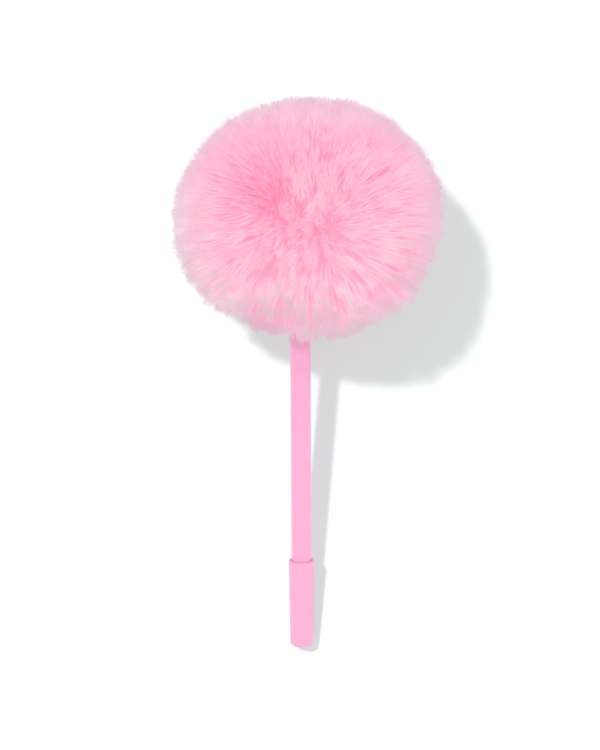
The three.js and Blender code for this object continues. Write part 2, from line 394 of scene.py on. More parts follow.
def clear_plastic():
    """Milky, nearly clear tube with faint lines along it from its making."""
    material, tree, shader = new_material("clear_plastic")
    lines = noise(tree, 1, 2, chart_place(tree, (0.02, 0.0004, 1)))
    dye(tree, shader, lines, (0.3, (0.80, 0.86, 0.89)), (0.7, (0.92, 0.95, 0.97)))
    vary_roughness(tree, shader, lines, 0.05, 0.12)
    shader.inputs["Transmission Weight"].default_value = 0.9
    shader.inputs["IOR"].default_value = 1.18  # so thin a wall barely bends the light
    shader.inputs["Coat Weight"].default_value = 0.5
    relief(tree, shader, lines, 0.002)
    return material


def gel_ink():
    material, tree, shader = new_material("gel_ink")
    swirl = noise(tree, 1.6, 5)
    dye(tree, shader, swirl, (0.3, (0.004, 0.004, 0.008)), (0.75, (0.012, 0.013, 0.022)))
    vary_roughness(tree, shader, swirl, 0.2, 0.32)
    shader.inputs["Specular IOR Level"].default_value = 0.2  # it wets the tube, so it barely shines
    relief(tree, shader, swirl, 0.005)
    return material


def grease():
    material, tree, shader = new_material("grease")
    air = bubbles(tree, 0.7)
    dye(tree, shader, air, (0.1, (0.93, 0.83, 0.52)), (0.6, (0.85, 0.68, 0.30)))
    shader.inputs["Roughness"].default_value = 0.18
    shader.inputs["Transmission Weight"].default_value = 0.55
    shader.inputs["IOR"].default_value = 1.46
    relief(tree, shader, air, 0.03)
    return material


def glue():
    material, tree, shader = new_material("glue")
    lumps = noise(tree, 1.2, 3)
    dye(tree, shader, lumps, (0.3, (0.80, 0.73, 0.54)), (0.7, (0.90, 0.85, 0.68)))
    shader.inputs["Roughness"].default_value = 0.3
    shader.inputs["Transmission Weight"].default_value = 0.3
    relief(tree, shader, lumps, 0.12)
    return material


def sewing_thread():
    """Spun fibres: fine lines along each ply, of varying tone, with painted shade darkening the gaps
    between the fibres.
    """
    material, tree, shader = new_material("thread")
    fibres = noise(tree, 1, 3, chart_place(tree, (0.012, 0.05, 1)))
    # the tone of the fibres varies, and its dark end is painted shade in the gaps between them
    dye(tree, shader, fibres, (0.35, (0.62, 0.20, 0.33)), (0.65, (0.86, 0.40, 0.55)))
    shader.inputs["Roughness"].default_value = 0.75
    shader.inputs["Sheen Weight"].default_value = 0.4
    relief(tree, shader, fibres, 0.03)
    return material


def knit_backing():
    """A fine knit: wales round the bag and courses along it, with painted shade darkening the gaps
    between.
    """
    material, tree, shader = new_material("fur_backing")
    wales = bands(tree, "X", 96, 0.25)
    courses = bands(tree, "Y", 52, 0.25)
    fuzz = noise(tree, 0.4, 4)
    knit = arithmetic(tree, "MULTIPLY", wales, courses)
    height = arithmetic(tree, "MULTIPLY_ADD", fuzz, 0.4, knit)
    # painted shade: the colour is darker where the knit is low, in the gaps between its loops
    dye(tree, shader, height, (0.1, (0.50, 0.13, 0.24)), (0.9, (0.86, 0.36, 0.52)))
    shader.inputs["Roughness"].default_value = 0.95
    shader.inputs["Sheen Weight"].default_value = 0.3
    relief(tree, shader, height, 0.15)
    return material


def stuffing_fibre():
    material, tree, shader = new_material("stuffing_fibre")
    strands = noise(tree, 0.5, 8, body_place(tree, (1, 0.35, 1)))
    dye(tree, shader, strands, (0.3, (0.68, 0.68, 0.67)), (0.7, (0.90, 0.90, 0.89)))
    shader.inputs["Roughness"].default_value = 0.9
    shader.inputs["Sheen Weight"].default_value = 0.5
    relief(tree, shader, strands, 0.25)
    return material


def faux_fur():
    """Fibres dyed pink: deep at the root, pale at the tip, each lock a little different.

    The chart's x is the paleness, which holds the strands' own tones along with painted shade and
    painted light, and its y is the place along the fibre.
    The emission is painted light: it stands for the light that reaches the depth of the pile through
    the fibres round it.
    """
    material, tree, shader = new_material("faux_fur")
    chart = add_node(tree, "ShaderNodeSeparateXYZ", {"Vector": chart_place(tree)})
    paleness, along = chart["X"], chart["Y"]
    root, shaft, tip = (0.96, 0.64, 0.76), (0.96, 0.67, 0.79), (0.96, 0.77, 0.86)
    values = {
        "Saturation": between(tree, paleness, 1.5, 0.6),
        "Color": colours(tree, along, (0, root), (0.85, shaft), (1, tip)),
    }
    shade = add_node(tree, "ShaderNodeHueSaturation", values)["Color"]
    tree.links.new(shade, shader.inputs["Base Color"])
    # painted light: this emission lights the fur from within, though it is no lamp
    painted_glow = colours(tree, along, (0, (0.90, 0.52, 0.66)), (1, (0.90, 0.45, 0.57)))
    tree.links.new(painted_glow, shader.inputs["Emission Color"])
    shader.inputs["Emission Strength"].default_value = 0.22
    shader.inputs["Roughness"].default_value = 0.9
    shader.inputs["Specular IOR Level"].default_value = 0.2
    return material


PINK = (0.85, 0.385, 0.59)


def make_materials():
    return {
        "cap_plastic": moulded_plastic("cap_plastic", PINK, 0.38),
        "barrel_plastic": moulded_plastic("barrel_plastic", PINK, 0.34),
        "stopper_rubber": stopper_rubber(),
        "holder_plastic": moulded_plastic("holder_plastic", (0.74, 0.74, 0.70), 0.42),
        "point_metal": turned_metal("point_metal", (0.62, 0.59, 0.53), 0.28, 150),
        "ball_metal": ball_metal(),
        "clear_plastic": clear_plastic(),
        "gel_ink": gel_ink(),
        "grease": grease(),
        "glue": glue(),
        "thread": sewing_thread(),
        "fur_backing": knit_backing(),
        "stuffing_fibre": stuffing_fibre(),
        "faux_fur": faux_fur(),
    }


# ----------------------------------------------------------
# Mesh helpers

CORNER_STEPS = 5
FACETS = 96
FINE_FACETS = 64  # of the writing point and its ball
ON_AXIS = 1e-9  # the largest radius that counts as none
SHARP_EDGE = math.radians(40)


def place_piece(mesh, body, slot, *nodes):
    """Puts a finished mesh on its body, in place of the CAD nodes that it stands for."""
    piece = bpy.data.objects.new(mesh.name, mesh)
    add_to_scene(piece)
    mesh.materials.append(MATERIALS[slot])
    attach(piece, body)
    if nodes:
        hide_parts(*nodes)
    return piece


def round_corners(corners):
    """The outline through the given corners. A corner is (radius, station), or (radius,
    station, rounding) for one that is cut off by a curve starting that far before it."""
    outline = []
    for i, corner in enumerate(corners):
        here = np.array(corner[:2], float)
        if len(corner) == 2:
            outline.append(here)
            continue
        before = np.array(corners[i - 1][:2], float)
        after = np.array(corners[(i + 1) % len(corners)][:2], float)
        start = here + normalised(before - here) * corner[2]
        end = here + normalised(after - here) * corner[2]
        for t in np.linspace(0, 1, CORNER_STEPS + 1):
            outline.append((1 - t) ** 2 * start + 2 * t * (1 - t) * here + t**2 * end)
    return np.array(outline)


def arc(centre_station, radius, first, last, steps):
    """Points on a circle round a point of the axis: -90 degrees is its front, 90 its rear."""
    angles = np.radians(np.linspace(first, last, steps + 1))
    return [(radius * math.cos(angle), centre_station + radius * math.sin(angle)) for angle in angles]


def turned_mesh(name, corners, facets=FACETS, shape=None):
    """A solid turned about the pen's axis. The outline climbs the outside and comes back
    down the inside, from axis to axis or round to its own start. shape may move the ring
    points: it takes and gives arrays of radius and station, with the angle round the axis."""
    outline = round_corners(corners)
    closed = outline[0, 0] > ON_AXIS
    angle = np.arange(facets) * 2 * np.pi / facets
    steps = np.linalg.norm(np.diff(outline, axis=0, append=outline[:1]), axis=1)
    climbed = np.concatenate([[0], np.cumsum(steps)])
    height = climbed / (climbed[-1] if closed else climbed[-2])

    vertices, rings = [], []
    for radius, station in outline:
        if radius <= ON_AXIS:
            rings.append([len(vertices)] * facets)
            vertices.append((0.0, station, 0.0))
            continue
        rings.append(list(range(len(vertices), len(vertices) + facets)))
        radii, stations = np.full(facets, radius), np.full(facets, station)
        if shape:
            radii, stations = shape(radii, stations, angle)
        vertices += list(zip(radii * np.cos(angle), stations, radii * np.sin(angle)))

    faces, charts = [], []
    for i in range(len(outline) if closed else len(outline) - 1):
        lower, upper = rings[i], rings[(i + 1) % len(outline)]
        for j in range(facets):
            k = (j + 1) % facets
            corners_of_face = [
                (lower[j], (j / facets, height[i])),
                (upper[j], (j / facets, height[i + 1])),
                (upper[k], ((j + 1) / facets, height[i + 1])),
                (lower[k], ((j + 1) / facets, height[i])),
            ]
            if lower[j] == lower[k]:
                corners_of_face.pop(3)
            if upper[j] == upper[k]:
                corners_of_face.pop(2)
            faces.append([vertex for vertex, _ in corners_of_face])
            charts += [place for _, place in corners_of_face]

    mesh = charted_mesh(name, vertices, faces, charts)
    mesh.set_sharp_from_angle(angle=SHARP_EDGE)
    return mesh


def charted_mesh(name, vertices, faces, charts):
    """A smooth mesh of points in the pen's axes, with a chart place for each face's corners."""
    mesh = bpy.data.meshes.new(name)
    mesh.from_pydata((to_row(vertices) * MM).tolist(), [], faces)
    chart = mesh.uv_layers.new(name=CHART)
    chart.data.foreach_set("uv", np.array(charts, np.float32).reshape(-1))
    face_outwards(mesh)
    mesh.shade_smooth()
    return mesh


def face_outwards(mesh):
    work = bmesh.new()
    work.from_mesh(mesh)
    bmesh.ops.recalc_face_normals(work, faces=work.faces)
    work.to_mesh(mesh)
    work.free()


def turned_piece(name, corners, body, slot, *nodes, facets=FACETS, shape=None):
    piece = place_piece(turned_mesh(name, corners, facets, shape), body, slot, *nodes)
    shading = piece.modifiers.new("even_shading", "WEIGHTED_NORMAL")
    shading.keep_sharp = True
    return piece


def swept_mesh(name, paths, radius, sides):
    """Closed round cords along the given paths, which are arrays of points in the pen's axes."""
    vertices, faces, charts = [], [], []
    turns = 2 * np.pi * np.arange(sides) / sides
    for path in paths:
        first = len(vertices)
        along = normalised(np.gradient(path, axis=0))
        outward = normalised(path * [1, 0, 1])
        across = normalised(outward - np.sum(outward * along, 1)[:, None] * along)
        other = np.cross(along, across)
        taper = np.ones(len(path))
        taper[0] = taper[-1] = 0.5
        for i, point in enumerate(path):
            for turn in turns:
                offset = across[i] * math.cos(turn) + other[i] * math.sin(turn)
                vertices.append(point + offset * radius * taper[i])
        last = len(path) - 1
        for i in range(last):
            low, high = i / last, (i + 1) / last
            for j in range(sides):
                left, right = j / sides, (j + 1) / sides
                a = first + i * sides + j
                b = first + i * sides + (j + 1) % sides
                faces.append([a, b, b + sides, a + sides])
                charts += [(left, low), (right, low), (right, high), (left, high)]
        for start, step in ((first, -1), (first + last * sides, 1)):
            faces.append(list(range(start, start + sides))[::step])
            charts += [(0.5 + 0.5 * math.cos(j), 0.5 + 0.5 * math.sin(j)) for j in range(sides)]
    return charted_mesh(name, vertices, faces, charts)


# ----------------------------------------------------------
# The cap


def make_cap():
    bore = BARREL_RADIUS + RUNNING_GAP
    gate = 0.9  # the shallow dish in the end where the plastic came in
    turned_piece(
        "cap",
        [
            (0, 0.12),
            (gate - 0.2, 0.12, 0.1),
            (gate, 0, 0.15),
            (CAP_END_RADIUS, 0, CAP_EDGE_ROUND * 1.35),
            (CAP_MOUTH_RADIUS, CAP_LENGTH, 0.3),
            (bore, CAP_LENGTH, 0.3),
            (bore, BARREL_FRONT - 0.6, 0.3),
            (CAP_NARROW_RADIUS + 0.1, BARREL_FRONT - 2.6, 0.4),
            (CAP_NARROW_RADIUS, CAP_END_WALL, 0.2),
            (0, CAP_END_WALL),
        ],
        "cap",
        "cap_plastic",
        "cap_shell",
    )


def make_tip_stopper():
    radius = CAP_NARROW_RADIUS - SEATED_GAP
    front = CAP_END_WALL + FACE_GAP
    rear = BALL_STATION + 0.7
    dimple_floor = BALL_STATION - BALL_RADIUS - FACE_GAP
    turned_piece(
        "cap_stopper",
        [
            (0, front),
            (radius, front, 0.3),
            (radius, rear, 0.3),
            (1.6, rear, 0.15),
            (1.1, dimple_floor, 0.25),
            (0, dimple_floor),
        ],
        "cap",
        "stopper_rubber",
        "tip_stopper",
    )


# ----------------------------------------------------------
# The grip section and the refill


def make_grip():
    ring = BARREL_BORE - SEATED_GAP
    spigot = BARREL_BORE - FACE_GAP
    collar = BARREL_RADIUS - 0.2
    collar_rear = BARREL_FRONT - FACE_GAP
    bore = REFILL_RADIUS + RUNNING_GAP
    nozzle = HOLDER_NOZZLE_RADIUS + RUNNING_GAP
    mouth = POINT_RADIUS + 0.2
    step = HOLDER_COLLAR_FRONT - 0.1
    snap_rings = []
    for station in (BARREL_FRONT + 3, BARREL_FRONT + 6):
        snap_rings += [
            (spigot, station - 0.5, 0.1),
            (ring, station - 0.2, 0.1),
            (ring, station + 0.2, 0.1),
            (spigot, station + 0.5, 0.1),
        ]
    turned_piece(
        "grip",
        [
            (mouth, NOSE_FRONT, 0.12),
            (1.8, NOSE_FRONT, 0.2),
            (3.1, NOSE_FRONT + 7, 1.6),
            (3.6, NOSE_SHOULDER - 1.6, 0.8),
            (3.6, NOSE_SHOULDER - 0.3, 0.1),
            (3.42, NOSE_SHOULDER - 0.2, 0.06),
            (3.42, NOSE_SHOULDER + 0.2, 0.06),
            (collar - 0.04, NOSE_SHOULDER + 0.5, 0.12),
            (collar, collar_rear, 0.12),
            (spigot, collar_rear),
            *snap_rings,
            (spigot, SPIGOT_REAR - 0.5, 0.2),
            (spigot - 0.3, SPIGOT_REAR, 0.1),
            (bore, SPIGOT_REAR, 0.1),
            (bore, step),
            (nozzle, step),
            (nozzle, HOLDER_FRONT - FACE_GAP),
            (mouth, HOLDER_FRONT - FACE_GAP),
        ],
        "refill_unit",
        "barrel_plastic",
        "grip_section",
    )


def make_point_holder():
    plug = REFILL_BORE - SEATED_GAP
    shank_bore = SHANK_RADIUS + SEATED_GAP
    collar_rear = REFILL_FRONT - 0.2
    turned_piece(
        "point_holder",
        [
            (shank_bore, HOLDER_FRONT, 0.08),
            (HOLDER_NOZZLE_RADIUS, HOLDER_FRONT, 0.2),
            (HOLDER_NOZZLE_RADIUS, HOLDER_COLLAR_FRONT, 0.1),
            (REFILL_RADIUS, HOLDER_COLLAR_FRONT, 0.15),
            (REFILL_RADIUS, collar_rear, 0.08),
            (plug, collar_rear),
            (plug, HOLDER_REAR - 0.4, 0.15),
            (plug - 0.3, HOLDER_REAR, 0.15),
            (PASSAGE_RADIUS, HOLDER_REAR, 0.1),
            (PASSAGE_RADIUS, PASSAGE_FRONT),
            (shank_bore, PASSAGE_FRONT),
        ],
        "refill_unit",
        "holder_plastic",
        "tip_holder",
    )


def make_writing_point():
    socket = BALL_RADIUS + SEATED_GAP
    channel = 0.28
    shank_channel = 0.5
    cone_rear = 6.9
    shank_front = HOLDER_FRONT - 0.2
    wrap = 23  # degrees past its middle that the socket holds the ball
    lip_radius = socket * math.cos(math.radians(wrap))
    lip = BALL_STATION - socket * math.sin(math.radians(wrap))
    turned_piece(
        "writing_point",
        [
            (lip_radius + 0.07, lip, 0.03),
            (0.72, BALL_STATION + 0.35, 0.15),
            (POINT_RADIUS, cone_rear, 0.5),
            (POINT_RADIUS, shank_front, 0.15),
            (SHANK_RADIUS, shank_front),
            (SHANK_RADIUS, SHANK_REAR, 0.15),
            (shank_channel, SHANK_REAR, 0.1),
            (shank_channel, shank_front),
            (channel, cone_rear),
            *arc(BALL_STATION, socket, 60, -wrap, 14),
        ],
        "refill_unit",
        "point_metal",
        "tip_point",
        facets=FINE_FACETS,
    )


def make_ball():
    turned_piece(
        "ball",
        arc(BALL_STATION, BALL_RADIUS, -90, 90, 32),
        "ball",
        "ball_metal",
        "writing_ball",
        facets=FINE_FACETS,
    )


def make_refill():
    turned_piece(
        "refill",
        [
            (REFILL_BORE, REFILL_FRONT, 0.08),
            (REFILL_RADIUS, REFILL_FRONT, 0.12),
            (REFILL_RADIUS, REFILL_REAR, 0.12),
            (REFILL_BORE, REFILL_REAR, 0.08),
        ],
        "refill_unit",
        "clear_plastic",
        "refill_tube",
    )


def make_ink():
    """The ink in the tube, which shortens as the follower travels, and the ink in the holder."""
    radius = REFILL_BORE - SEATED_GAP
    clearance = 0.2
    thread = PASSAGE_RADIUS - SEATED_GAP
    front = HOLDER_REAR + clearance
    thread_rear = front - 0.05
    turned_piece(
        "ink_in_holder",
        [
            (0, PASSAGE_FRONT + clearance),
            (thread, PASSAGE_FRONT + clearance, 0.1),
            (thread, thread_rear, 0.05),
            (0, thread_rear),
        ],
        "refill_unit",
        "gel_ink",
        facets=48,
    )
    ink = turned_piece(
        "ink",
        [(0, front), (radius, front, 0.2), (radius, INK_REAR, 0.1), (0, INK_REAR)],
        "refill_unit",
        "gel_ink",
        "ink_column",
    )
    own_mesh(ink)


def make_follower():
    radius = REFILL_BORE - SEATED_GAP
    front = INK_REAR + FACE_GAP
    rear = front + FOLLOWER_LENGTH
    turned_piece(
        "follower_grease",
        [
            (0, front),
            (radius, front, 0.1),
            (radius, rear, 0.1),
            (radius * 0.72, rear - 0.45, 0.5),
            (0, rear - 0.85),
        ],
        "follower",
        "grease",
        "ink_follower",
    )


# ----------------------------------------------------------
# The barrel and its plug


def make_barrel():
    turned_piece(
        "barrel",
        [
            (BARREL_BORE, BARREL_FRONT, 0.12),
            (BARREL_RADIUS, BARREL_FRONT, 0.3),
            (BARREL_RADIUS, BARREL_REAR, 0.12),
            (BARREL_BORE, BARREL_REAR, 0.12),
        ],
        "barrel",
        "barrel_plastic",
        "barrel_tube",
    )


def make_rear_plug():
    plug = BARREL_BORE - SEATED_GAP
    plug_front = BARREL_REAR - 10
    flange_front = BARREL_REAR + 0.1
    barbs = []
    for station in (FLANGE_REAR + 2, FLANGE_REAR + 5, FLANGE_REAR + 8):
        barbs += [
            (STEM_RADIUS, station, 0.08),
            (STEM_RADIUS + BARB_HEIGHT, station, 0.1),
            (STEM_RADIUS, station + 1.8, 0.3),
        ]
    turned_piece(
        "rear_plug",
        [
            (0, plug_front),
            (plug - 0.4, plug_front, 0.2),
            (plug, plug_front + 0.6, 0.2),
            (plug, flange_front),
            (BARREL_RADIUS, flange_front, 0.1),
            (BARREL_RADIUS, FLANGE_REAR, 0.3),
            (STEM_RADIUS, FLANGE_REAR, 0.2),
            *barbs,
            (STEM_RADIUS - 0.5, STEM_REAR, 0.3),
            (0, STEM_REAR),
        ],
        "barrel",
        "barrel_plastic",
        "end_plug",
    )


# ----------------------------------------------------------
# The pompom's inside: glue, thread, knitted backing and stuffing

SEED = 20
rng = np.random.default_rng(SEED)


def uneven(angle, counts):
    """A few waves round the axis, from -1 to 1, with random starts."""
    ripples = [np.cos(count * angle + rng.uniform(0, 2 * np.pi)) for count in counts]
    return sum(ripples) / len(ripples)


def make_glue():
    middle = (GLUE_FRONT + GLUE_REAR) / 2

    def lumpy(radii, stations, angle):
        height = radii - COLLAR_BORE
        bulge = 0.85 + 0.15 * uneven(angle, (2, 3, 5))
        return COLLAR_BORE + height * bulge, middle + (stations - middle) * bulge

    turned_piece(
        "glue",
        [
            (COLLAR_BORE, GLUE_FRONT + 0.1),
            (COLLAR_BORE + 0.5, GLUE_FRONT, 0.3),
            (COLLAR_BORE + GLUE_HEIGHT, middle, 1.4),
            (COLLAR_BORE + 0.5, GLUE_REAR, 0.3),
            (COLLAR_BORE, GLUE_REAR - 0.1),
        ],
        "barrel",
        "glue",
        "glue_bead",
        shape=lumpy,
    )


def make_thread():
    """Two plies twisted round each other and wound round the backing's collar."""
    pitch = THREAD_RADIUS * 2 + 0.1
    radius = WAIST_RADIUS + THREAD_RADIUS + RUNNING_GAP
    start = THREAD_STATION - THREAD_TURNS * pitch / 2
    ply_radius = THREAD_RADIUS * 0.5
    twists = 11  # in each turn
    t = np.linspace(0, 1, 150 * THREAD_TURNS + 1)
    angle = t * THREAD_TURNS * 2 * np.pi
    outward = np.stack([np.sin(angle), np.zeros_like(angle), np.cos(angle)], 1)
    centre = outward * radius
    centre[:, 1] = start + t * THREAD_TURNS * pitch
    along = np.array([0, 1, 0])
    plies = []
    for ply in (0, np.pi):
        twist = (angle * twists + ply)[:, None]
        plies.append(centre + (outward * np.cos(twist) + along * np.sin(twist)) * ply_radius)
    mesh = swept_mesh("gathering_thread", plies, ply_radius * 0.98, 8)
    place_piece(mesh, "barrel", "thread", "gather_thread")


def front_angle(radius, size):
    """The angle, in arc()'s degrees, at which a circle of this size has the given radius."""
    return -math.degrees(math.acos(radius / size))


def make_backing():
    """The knitted bag: a ball, gathered into a collar on the barrel by the thread."""
    pleats = 16
    inner = BACKING_RADIUS - BACKING_WALL

    def pleated(radii, stations, angle):
        gathered = smooth_step((POMPOM_STATION - 4 - stations) / 14)
        gathered = gathered * smooth_step((radii - COLLAR_BORE) / 0.5)
        fold = (np.abs(np.cos(angle * pleats / 2)) - 0.6) * (1 + 0.25 * uneven(angle, (3, 7)))
        return radii + gathered * fold * 0.4, stations

    turned = turned_piece(
        "knit_backing",
        [
            *arc(POMPOM_STATION, inner, 90, front_angle(COLLAR_BORE, inner), 22),
            (COLLAR_BORE, COLLAR_FRONT, 0.3),
            (COLLAR_RADIUS + 0.3, COLLAR_FRONT, 0.5),
            (COLLAR_RADIUS, THREAD_STATION - 2, 0.4),
            (WAIST_RADIUS, THREAD_STATION - 1.4, 0.3),
            (WAIST_RADIUS, THREAD_STATION + 1.4, 0.3),
            *arc(POMPOM_STATION, BACKING_RADIUS, front_angle(COLLAR_RADIUS, BACKING_RADIUS), 90, 40),
        ],
        "barrel",
        "fur_backing",
        "pompom_backing",
        facets=192,
        shape=pleated,
    )


def make_stuffing():
    """A ball of loose fibre, lumpy where it pulls away from the bag."""
    radius = BACKING_RADIUS - BACKING_WALL - FACE_GAP
    glue_space = COLLAR_BORE + GLUE_HEIGHT + FACE_GAP
    barrel_space = BARREL_RADIUS + FACE_GAP
    barrel_space_rear = FLANGE_REAR + FACE_GAP
    stem_space = STEM_RADIUS + BARB_HEIGHT + FACE_GAP
    crests = rng.normal(0, 0.55, (24, 3))
    starts = rng.uniform(0, 2 * np.pi, 24)

    def lumpy(radii, stations, angle):
        points = np.stack([radii * np.cos(angle), stations - POMPOM_STATION, radii * np.sin(angle)], 1)
        from_centre = np.linalg.norm(points, axis=1)
        lumps = np.cos(points @ crests.T + starts).mean(1) * 2.2
        outermost = smooth_step((from_centre - radius + 1) / 0.9)
        depth = 0.45 * np.clip(0.5 + lumps, 0, 1) * outermost
        shrink = 1 - depth / np.maximum(from_centre, 1)
        return radii * shrink, POMPOM_STATION + (stations - POMPOM_STATION) * shrink

    piece = turned_piece(
        "fibre_stuffing",
        [
            (0, STEM_REAR + FACE_GAP),
            (stem_space, STEM_REAR + FACE_GAP, 0.4),
            (stem_space, barrel_space_rear, 0.4),
            (barrel_space, barrel_space_rear, 0.4),
            (barrel_space, GLUE_REAR + FACE_GAP),
            (glue_space, GLUE_REAR + FACE_GAP, 0.2),
            *arc(POMPOM_STATION, radius, front_angle(glue_space, radius), 90, 60),
        ],
        "barrel",
        "stuffing_fibre",
        "pompom_stuffing",
        facets=144,
        shape=lumpy,
    )


# ----------------------------------------------------------
# The fur. A strand's way is the unit vector, in the pen's axes, from the middle of the pompom
# to where the strand grows.

STRANDS = 96000
STRAND_PIECES = 8
LOCKS = 6500
TUFTS = 1500
WAVES = 14  # in a smooth random field
GOLDEN_ANGLE = math.pi * (3 - math.sqrt(5))
BARE_ANGLE = math.radians(6)  # no strand grows this near to the barrel
GATHERED_TO = math.radians(60)  # the bag is gathered this far round from the barrel
GATHERED_BY = math.radians(14)  # and its roots beside the barrel are this much further out
OFFSET = 2.6  # of the ball of fur to the pen's right
RISE = 3  # of the ball of fur above the pen, since the floor holds it up

POMPOM_CENTRE = to_row([0, POMPOM_STATION, 0])
WHORL_WAY = normalised(PEN_AXES @ (np.array(CAMERA_PLACE) / MM - POMPOM_CENTRE))
PARTING_WAY = pen_way(-0.48, 0.32, 0.82)
PAINTED_LIGHT_WAY = pen_way(-0.6, -0.8, 0)  # painted light: the fur is painted paler towards this side

# Patches of the fur: the way to the middle, and how many degrees round it
WHORL = (WHORL_WAY, 12)
UNCOMBED = (WHORL_WAY, 45)
DEEP_ROOTED = (WHORL_WAY, 75)
PARTING = (PARTING_WAY, 34)
TOP = (pen_way(0, 0, 1), 60)
# a patch near the top where the tips are paler
PALER_PATCH = (pen_way(0.15, -0.28, 0.95), 42)
# painted shade: a patch beside the parting whose tips are painted deeper pink, as if seen deep into
# the pile
PAINTED_SHADE_PATCH = (pen_way(-0.58, 0.44, 0.68), 32)
SHADE_BESIDE_BARREL = (pen_way(-0.33, -0.87, 0.36), 25)  # beside the barrel; the tips here are painted deeper pink, as painted shade

# How far strands draw together towards their tips: 0 is not at all and 1 is to a point
LOCK_DRAW = (0.1, 0.5)  # the least and the most, for the strands of a lock
TUFT_DRAW = (0.3, 0.8)  # for the locks of a tuft, where the fur is ruffled
RUFFLED_DRAW = 0.3  # added to a lock's where the fur is ruffled
PARTING_LOOSENESS = 0.7  # the share of a lock's that is lost in the parting

# How far the strands lean, in radians
REGION_LEAN = 0.045
LOCK_LEAN = 0.03
TUFT_LEAN = 0.03  # where the fur is ruffled
WHORL_LEAN = 0.09  # of locks, at random, in the whorl
STRAND_LEAN = 0.016
REARWARD_LEAN = 0.085  # on the top
COMBED = 0.25  # away from the whorl
PARTED = 0.35  # away from the parting

# How the strands bend: where along them, and how unevenly, in mm
BEND_PLACE = 0.55
ROOT_STIFFNESS = 0.6  # the root's share of the way to the bend; the rest is the tip's
LOCK_BEND = 0.8
STRAND_BEND = 0.7

# How much shorter or longer the strands are, as shares of their length
LOCK_UNEVEN = 0.012
STRAND_UNEVEN = 0.015
TUFT_UNEVEN = 0.018
CUT_SHARE = 0.25  # of the strands, which are cut shorter than the rest
MOST_CUT = 0.2
PARTING_DIP = 0.05

TRIM = 1.002  # the length of all the fur, as a share of the driving dimensions
# where the ball isn't trimmed round: the way, how many degrees round it, and by how much
SWELLINGS = [
    (pen_way(0.85, 0.3, 0.5), 50, 0.07),
    (pen_way(0.5, 0.87, 0), 28, 0.035),
    (pen_way(-0.84, 0.54, 0), 22, -0.02),
    (pen_way(-0.87, -0.5, 0), 28, 0.03),
    (pen_way(0.2, -0.98, 0), 25, 0.03),
    (pen_way(-0.25, -0.87, 0.43), 34, -0.07),
    (pen_way(0.65, -0.6, 0.47), 36, 0.065),
]

# The strands' paleness: 0 is the deepest pink and 1 the palest
PALENESS = 0.49
REGION_SHADES = 0.13
TUFT_SHADES = 0.14
LOCK_SHADES = 0.35
# painted light: how much paler the tips are painted towards one side
PAINTED_LIGHT_PALENESS = 0.3
# how much paler the tips are in the patch near the top
PALER_PATCH_AMOUNT = 0.52
# painted shade: how much deeper pink the tips are painted in the parting and in the patch beside it
PARTING_PAINTED_SHADE = 0.4
PAINTED_SHADE_PATCH_DEPTH = 0.35
# painted shade: how much deeper pink the tips beside the barrel are painted
SHADE_BESIDE_BARREL_DEPTH = 0.7
ROOTS_PALER = 0.5  # away from the whorl

RING_PLACES = np.array([0.0, 0.45, 0.8])  # along a strand, which ends in a point
RING_RADII = np.array([0.07, 0.14, 0.13])
FLOOR_CLEARANCE = 0.35  # of the middle of a strand
LOWEST = 0.05  # that its surface may come to the floor
CHART_MARGIN = 0.01


def spread_over_ball(count, jitter):
    """Unit vectors spread evenly over a ball, in the pen's own axes."""
    index = np.arange(count) + 0.5
    along = 1 - 2 * index / count
    round_axis = GOLDEN_ANGLE * index
    ring = np.sqrt(1 - along**2)
    ways = np.stack([ring * np.cos(round_axis), along, ring * np.sin(round_axis)], 1)
    return normalised(ways + rng.normal(0, jitter, ways.shape))


def smooth_waves(ways, scale):
    """A smooth random vector field over the ball, whose waves are shorter for a larger scale."""
    field = np.zeros_like(ways)
    for _ in range(WAVES):
        wave = rng.normal(0, scale, 3)
        push = rng.normal(0, 1, 3)
        field += np.cos(ways @ wave + rng.uniform(0, 2 * np.pi))[:, None] * push
    return field / math.sqrt(WAVES)


def nearest(ways, centres):
    tree = KDTree(len(centres))
    for i, centre in enumerate(centres):
        tree.insert(centre, i)
    tree.balance()
    return np.array([tree.find(way)[1] for way in ways])


def closeness(ways, centre, reach):
    """1 at the centre, falling smoothly to 0 at the given angle from it, in degrees."""
    angle = np.degrees(np.arccos(np.clip(ways @ centre, -1, 1)))
    return smooth_step(1 - angle / reach)


def tangent(vectors, ways):
    return vectors - np.sum(vectors * ways, 1)[:, None] * ways


def swell(ways):
    """The ball isn't trimmed quite round: how much further the fur reaches each way."""
    size = np.full(len(ways), TRIM)
    for way, reach, amount in SWELLINGS:
        size += amount * closeness(ways, way, reach)
    return size


def make_pile():
    """The strands' ways, the locks and tufts they belong to, and where they lie differently."""
    ways = spread_over_ball(STRANDS, 0.006)
    ways = ways[-ways[:, 1] < math.cos(BARE_ANGLE)]
    locks = spread_over_ball(LOCKS, 0.02)
    tufts = spread_over_ball(TUFTS, 0.05)
    return SimpleNamespace(
        ways=ways,
        locks=locks,
        tufts=tufts,
        lock=nearest(ways, locks),
        tuft=nearest(ways, tufts),
        ruffled=smooth_step((0.15 - ways[:, 1]) / 0.6),  # the side towards the barrel
        parting=closeness(ways, *PARTING),
    )


def drawn_together(pile):
    """The strands' ways once locks, and then tufts, have drawn together."""
    lock_draw = rng.uniform(*LOCK_DRAW, LOCKS)[pile.lock] + RUFFLED_DRAW * pile.ruffled
    lock_draw *= 1 - PARTING_LOOSENESS * pile.parting
    tuft_draw = rng.uniform(*TUFT_DRAW, TUFTS)[pile.tuft] * pile.ruffled
    drawn = pile.ways + (pile.locks[pile.lock] - pile.ways) * lock_draw[:, None]
    return normalised(drawn + (pile.tufts[pile.tuft] - drawn) * tuft_draw[:, None])


